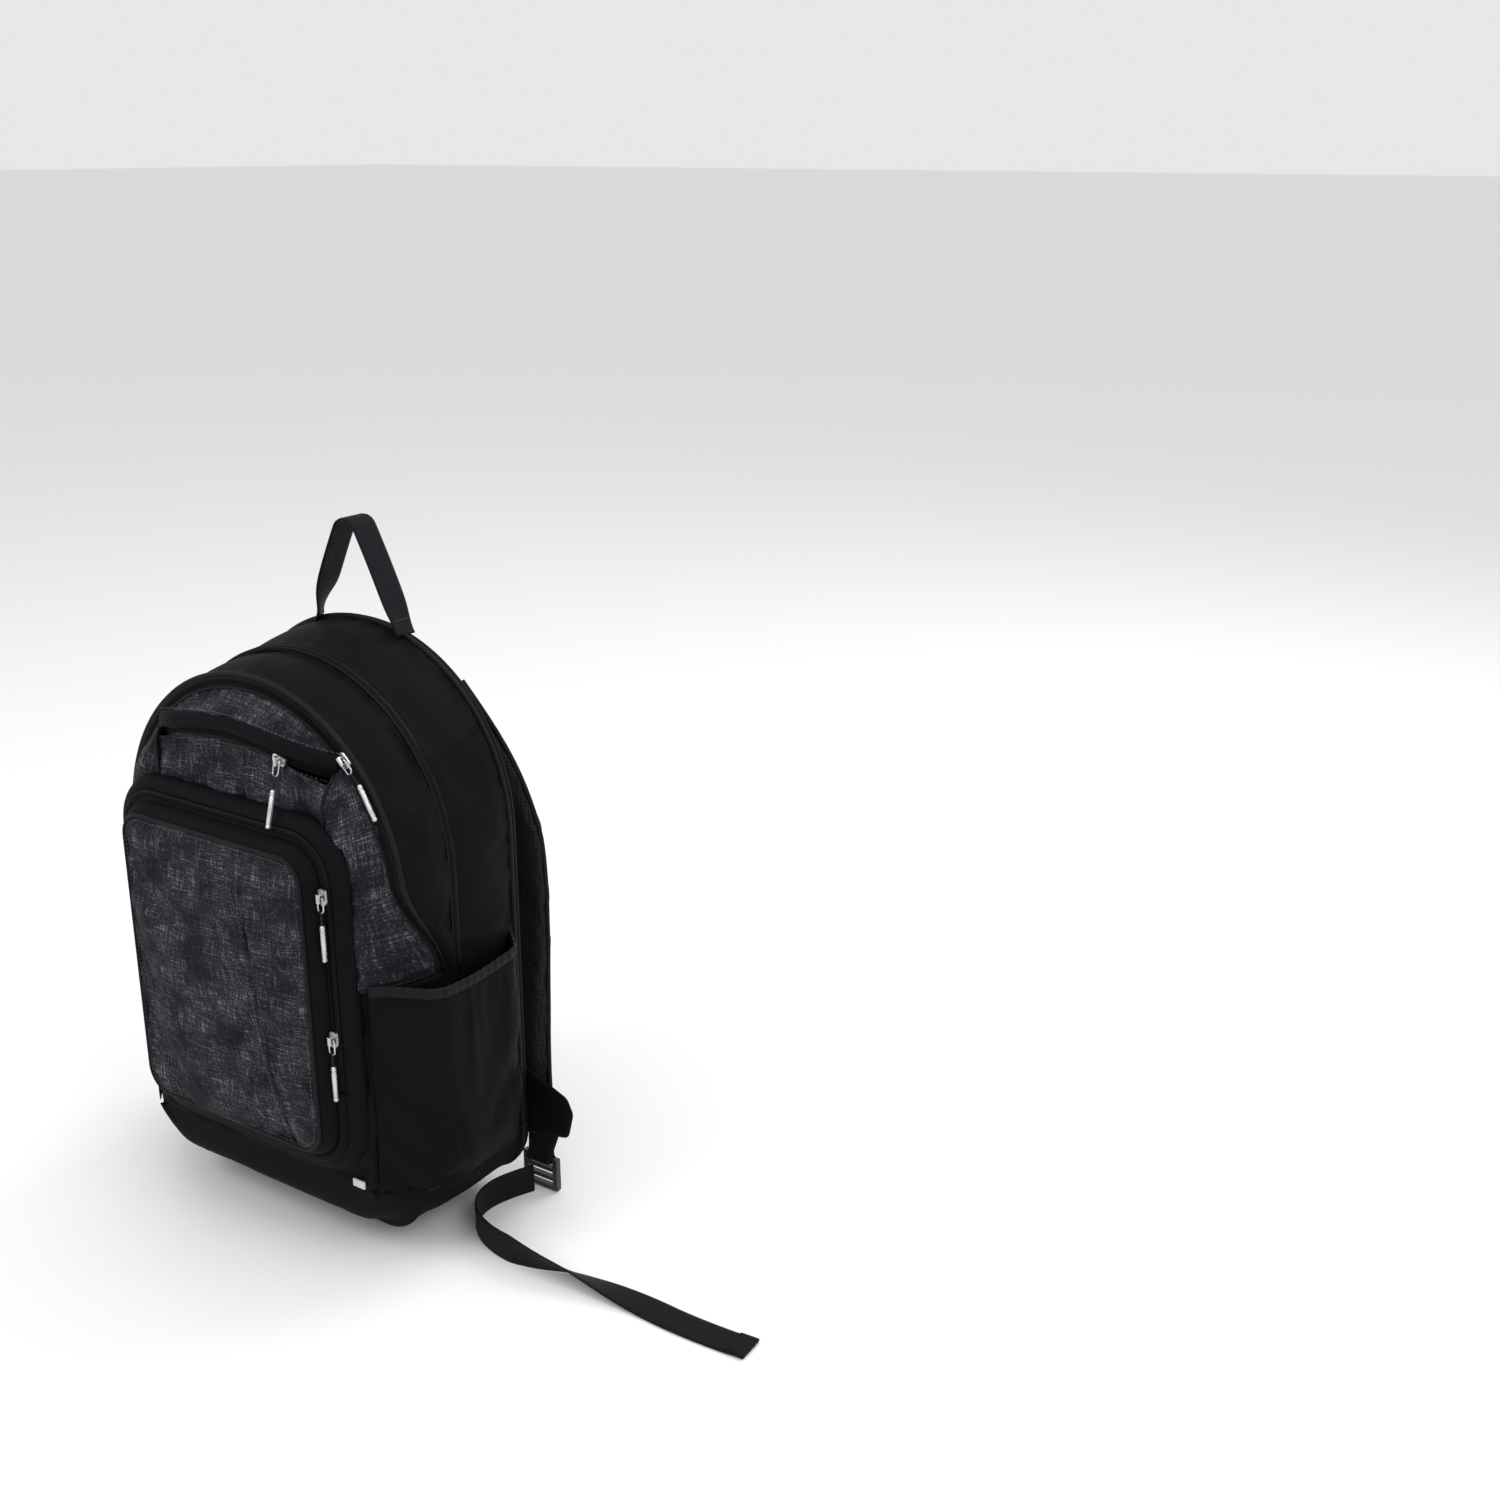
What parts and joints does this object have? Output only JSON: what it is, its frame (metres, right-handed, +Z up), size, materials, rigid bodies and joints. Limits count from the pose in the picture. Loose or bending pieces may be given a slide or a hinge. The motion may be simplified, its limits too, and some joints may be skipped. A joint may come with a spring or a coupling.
{
  "type": "school backpack",
  "caption": "Domed school backpack hung by its haul loop, with zipped compartments, a front pocket, bottle pockets, padded shoulder straps and webbing tails.",
  "frame": {"origin": "the point under the top of the haul loop where it bears on its hook", "axes": "+Z up; -Y towards the front pocket; +X towards the bag's own left as worn, the viewer's right from the front"},
  "size_m": [0.6314, 0.2709, 0.559],
  "materials": {
    "black_polyester": "matte plain-weave polyester",
    "denim_cloth": "heathered melange cloth with a cross-hatched weave",
    "lining": "thin lining",
    "foam": "closed-cell foam board",
    "pad_mesh": "air mesh over foam",
    "zip_coil": "nylon coil on woven tape",
    "elastic_binding": "folded elastic tape",
    "pocket_mesh": "open knitted mesh",
    "webbing": "25 mm ribbed webbing",
    "strap_cloth": "padded polyester with mesh lining",
    "black_plastic": "moulded acetal",
    "slider_metal": "plated zinc",
    "pull_metal": "satin bar on a black cord",
    "white_tag": "small woven tag"
  },
  "bodies": {
    "bag": {"back_panel": "black_polyester", "back_board": "foam", "back_pad_right": "pad_mesh", "back_pad_left": "pad_mesh", "back_pad_lower": "pad_mesh", "strap_yoke": "black_polyester", "gusset_rear_strip": "black_polyester", "main_zip_chain": "zip_coil", "gusset_front_strip": "black_polyester", "side_panel_right": "black_polyester", "side_panel_left": "black_polyester", "base_panel": "black_polyester", "compartment_divider": "lining", "front_upper_panel": "denim_cloth", "upper_pocket_face": "denim_cloth", "upper_zip_chain": "zip_coil", "welt_flap": "black_polyester", "front_zip_chain": "zip_coil", "front_side_strip_right": "denim_cloth", "front_side_strip_left": "denim_cloth", "front_lower_panel": "black_polyester", "pocket_gusset_outer": "black_polyester", "pocket_zip_chain": "zip_coil", "pocket_gusset_inner": "black_polyester", "pocket_face_side": "denim_cloth", "pocket_face_main": "denim_cloth", "side_pocket_right": "black_polyester", "side_pocket_right_binding": "elastic_binding", "side_pocket_left_mesh": "pocket_mesh", "side_pocket_left_binding": "elastic_binding", "side_tag": "white_tag", "haul_loop": "webbing", "wing_tab_right": "black_polyester", "adjuster_webbing_right": "webbing", "wing_tab_left": "black_polyester", "adjuster_webbing_left": "webbing"},
    "main_top_slider": {"main_top_slider": "slider_metal"},
    "main_top_pull": {"main_top_pull": "pull_metal"},
    "main_side_slider": {"main_side_slider": "slider_metal"},
    "main_side_pull": {"main_side_pull": "pull_metal"},
    "front_slider": {"front_slider": "slider_metal"},
    "front_pull": {"front_pull": "pull_metal"},
    "upper_slider": {"upper_slider": "slider_metal"},
    "upper_pull": {"upper_pull": "pull_metal"},
    "pocket_top_slider": {"pocket_top_slider": "slider_metal"},
    "pocket_top_pull": {"pocket_top_pull": "pull_metal"},
    "pocket_low_slider": {"pocket_low_slider": "slider_metal"},
    "pocket_low_pull": {"pocket_low_pull": "pull_metal"},
    "strap_right": {"shoulder_strap_right": "strap_cloth", "strap_end_webbing_right": "webbing", "webbing_tail_right": "webbing", "tail_fold_right": "webbing"},
    "lock_right": {"ladder_lock_right": "black_plastic"},
    "strap_left": {"shoulder_strap_left": "strap_cloth", "strap_end_webbing_left": "webbing", "webbing_tail_left": "webbing", "tail_fold_left": "webbing"},
    "lock_left": {"ladder_lock_left": "black_plastic"}
  },
  "joints": [
    {"name": "main_top_travel", "type": "hinge", "parent": "bag", "child": "main_top_slider", "pos_m": [0, -0.066, -0.24075], "axis": [0, -1, 0], "range_deg": [-140, 0]},
    {"name": "main_top_lift", "type": "hinge", "parent": "main_top_slider", "child": "main_top_pull", "pos_m": [-0.14588, -0.066, -0.18765], "axis": [0, 1, 0], "range_deg": [0, 120]},
    {"name": "main_side_travel", "type": "slide", "parent": "bag", "child": "main_side_slider", "axis": [0, 0, -1], "range_m": [0, 0.044]},
    {"name": "main_side_lift", "type": "hinge", "parent": "main_side_slider", "child": "main_side_pull", "pos_m": [-0.15524, -0.066, -0.26], "axis": [0, 1, 0], "range_deg": [0, 120]},
    {"name": "front_travel", "type": "hinge", "parent": "bag", "child": "front_slider", "pos_m": [0, -0.1246, -0.25], "axis": [0, -1, 0], "range_deg": [-38, 132]},
    {"name": "front_lift", "type": "hinge", "parent": "front_slider", "child": "front_pull", "pos_m": [0.1031, -0.1246, -0.1469], "axis": [-0.7071, 0, -0.7071], "range_deg": [0, 120]},
    {"name": "upper_travel", "type": "hinge", "parent": "bag", "child": "upper_slider", "pos_m": [0, -0.1476, -0.397], "axis": [0, -1, 0], "range_deg": [-2, 29]},
    {"name": "upper_lift", "type": "hinge", "parent": "upper_slider", "child": "upper_pull", "pos_m": [0.06, -0.1476, -0.14813], "axis": [-1, 0, 0], "range_deg": [0, 110]},
    {"name": "pocket_top_travel", "type": "slide", "parent": "bag", "child": "pocket_top_slider", "axis": [0, 0, 1], "range_m": [-0.045, 0]},
    {"name": "pocket_top_lift", "type": "hinge", "parent": "pocket_top_slider", "child": "pocket_top_pull", "pos_m": [0.11, -0.1621, -0.24], "axis": [-1, 0, 0], "range_deg": [0, 120]},
    {"name": "pocket_low_travel", "type": "slide", "parent": "bag", "child": "pocket_low_slider", "axis": [0, 0, 1], "range_m": [-0.036, 0.045]},
    {"name": "pocket_low_lift", "type": "hinge", "parent": "pocket_low_slider", "child": "pocket_low_pull", "pos_m": [0.11, -0.1621, -0.355], "axis": [-1, 0, 0], "range_deg": [0, 120]},
    {"name": "strap_right_swing", "type": "hinge", "parent": "bag", "child": "strap_right", "pos_m": [0.052, 0.013, -0.118], "axis": [1, 0, 0], "range_deg": [0, 30]},
    {"name": "lock_right_tilt", "type": "hinge", "parent": "strap_right", "child": "lock_right", "pos_m": [0.152, 0.02, -0.529], "axis": [1, 0, 0], "range_deg": [0, 35]},
    {"name": "strap_left_swing", "type": "hinge", "parent": "bag", "child": "strap_left", "pos_m": [-0.052, 0.013, -0.118], "axis": [1, 0, 0], "range_deg": [0, 30]},
    {"name": "lock_left_tilt", "type": "hinge", "parent": "strap_left", "child": "lock_left", "pos_m": [-0.152, 0.02, -0.529], "axis": [1, 0, 0], "range_deg": [0, 35]}
  ]
}
